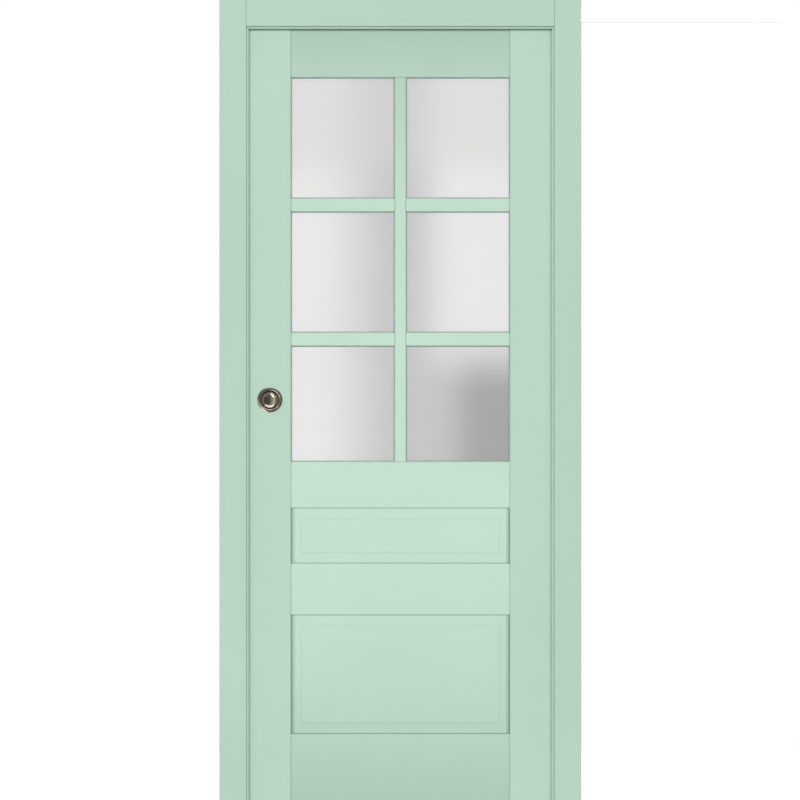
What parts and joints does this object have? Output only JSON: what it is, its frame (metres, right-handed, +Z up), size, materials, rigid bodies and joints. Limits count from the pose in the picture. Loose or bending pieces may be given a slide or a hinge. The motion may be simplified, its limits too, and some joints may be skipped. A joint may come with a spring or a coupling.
{
  "type": "pocket door",
  "caption": "Glazed stile-and-rail pocket door with fielded panels and cup pulls, hung on trolleys in an overhead track, with its split jambs and casings.",
  "frame": {"origin": "on the floor, in the middle of the opening between the jambs and of the wall's thickness", "axes": "+X along the wall, to the right as seen from the front and the way the door opens; +Y through the wall, away from the viewer; +Z up"},
  "size_m": [1.4735, 0.14, 2.112],
  "materials": {
    "mint_paint": "satin",
    "frosted_glass": "matte",
    "seal_rubber": "matte",
    "beech": "matte",
    "softwood": "matte",
    "antique_metal": "satin",
    "zinc_steel": "satin",
    "anodised_aluminium": "satin",
    "wheel_nylon": "satin",
    "black_nylon": "satin",
    "black_rubber": "matte"
  },
  "bodies": {
    "frame": {"strike_jamb": "mint_paint", "front_strike_stop": "mint_paint", "rear_strike_stop": "mint_paint", "front_pocket_jamb": "mint_paint", "rear_pocket_jamb": "mint_paint", "front_head_jamb": "mint_paint", "rear_head_jamb": "mint_paint", "front_head_casing": "mint_paint", "front_strike_casing": "mint_paint", "front_pocket_casing": "mint_paint", "rear_head_casing": "mint_paint", "rear_strike_casing": "mint_paint", "rear_pocket_casing": "mint_paint", "header_board": "softwood", "header_screws": "zinc_steel", "track": "anodised_aluminium", "track_screws": "zinc_steel", "track_stops": "black_nylon", "stop_buffers": "black_rubber", "strike_bumper": "black_rubber", "floor_guide": "black_nylon"},
    "door": {"lock_stile": "mint_paint", "pocket_stile": "mint_paint", "top_rail": "mint_paint", "lock_rail": "mint_paint", "panel_rail": "mint_paint", "bottom_rail": "mint_paint", "upper_panel": "mint_paint", "lower_panel": "mint_paint", "centre_muntin": "mint_paint", "left_cross_muntin_1": "mint_paint", "left_cross_muntin_2": "mint_paint", "right_cross_muntin_1": "mint_paint", "right_cross_muntin_2": "mint_paint", "left_pane_1": "frosted_glass", "right_pane_1": "frosted_glass", "left_pane_2": "frosted_glass", "right_pane_2": "frosted_glass", "left_pane_3": "frosted_glass", "right_pane_3": "frosted_glass", "glazing_seals": "seal_rubber", "rail_dowels": "beech", "front_pull": "antique_metal", "rear_pull": "antique_metal", "hanger_plate_1": "zinc_steel", "hanger_plate_2": "zinc_steel", "hanger_screws": "zinc_steel", "hanger_bolts": "zinc_steel", "hanger_nuts": "zinc_steel", "carriage_1": "zinc_steel", "carriage_2": "zinc_steel", "trolley_axles": "zinc_steel"},
    "wheel_1_body": {"wheel_1": "wheel_nylon"},
    "wheel_2_body": {"wheel_2": "wheel_nylon"},
    "wheel_3_body": {"wheel_3": "wheel_nylon"},
    "wheel_4_body": {"wheel_4": "wheel_nylon"},
    "wheel_5_body": {"wheel_5": "wheel_nylon"},
    "wheel_6_body": {"wheel_6": "wheel_nylon"},
    "wheel_7_body": {"wheel_7": "wheel_nylon"},
    "wheel_8_body": {"wheel_8": "wheel_nylon"}
  },
  "joints": [
    {"name": "door_slide", "type": "slide", "parent": "frame", "child": "door", "axis": [1, 0, 0], "range_m": [0, 0.7]},
    {"name": "wheel_1_turn", "type": "hinge", "parent": "door", "child": "wheel_1_body", "pos_m": [-0.2505, 0, 2.0667], "axis": [0, 1, 0], "range_deg": [0, 4011]},
    {"name": "wheel_2_turn", "type": "hinge", "parent": "door", "child": "wheel_2_body", "pos_m": [-0.2505, 0, 2.0667], "axis": [0, 1, 0], "range_deg": [0, 4011]},
    {"name": "wheel_3_turn", "type": "hinge", "parent": "door", "child": "wheel_3_body", "pos_m": [-0.2025, 0, 2.0667], "axis": [0, 1, 0], "range_deg": [0, 4011]},
    {"name": "wheel_4_turn", "type": "hinge", "parent": "door", "child": "wheel_4_body", "pos_m": [-0.2025, 0, 2.0667], "axis": [0, 1, 0], "range_deg": [0, 4011]},
    {"name": "wheel_5_turn", "type": "hinge", "parent": "door", "child": "wheel_5_body", "pos_m": [0.2025, 0, 2.0667], "axis": [0, 1, 0], "range_deg": [0, 4011]},
    {"name": "wheel_6_turn", "type": "hinge", "parent": "door", "child": "wheel_6_body", "pos_m": [0.2025, 0, 2.0667], "axis": [0, 1, 0], "range_deg": [0, 4011]},
    {"name": "wheel_7_turn", "type": "hinge", "parent": "door", "child": "wheel_7_body", "pos_m": [0.2505, 0, 2.0667], "axis": [0, 1, 0], "range_deg": [0, 4011]},
    {"name": "wheel_8_turn", "type": "hinge", "parent": "door", "child": "wheel_8_body", "pos_m": [0.2505, 0, 2.0667], "axis": [0, 1, 0], "range_deg": [0, 4011]}
  ],
  "couplings": [
    {"joint": "wheel_1_turn", "follows": "door_slide", "rad_per_m": 100},
    {"joint": "wheel_2_turn", "follows": "door_slide", "rad_per_m": 100},
    {"joint": "wheel_3_turn", "follows": "door_slide", "rad_per_m": 100},
    {"joint": "wheel_4_turn", "follows": "door_slide", "rad_per_m": 100},
    {"joint": "wheel_5_turn", "follows": "door_slide", "rad_per_m": 100},
    {"joint": "wheel_6_turn", "follows": "door_slide", "rad_per_m": 100},
    {"joint": "wheel_7_turn", "follows": "door_slide", "rad_per_m": 100},
    {"joint": "wheel_8_turn", "follows": "door_slide", "rad_per_m": 100}
  ]
}
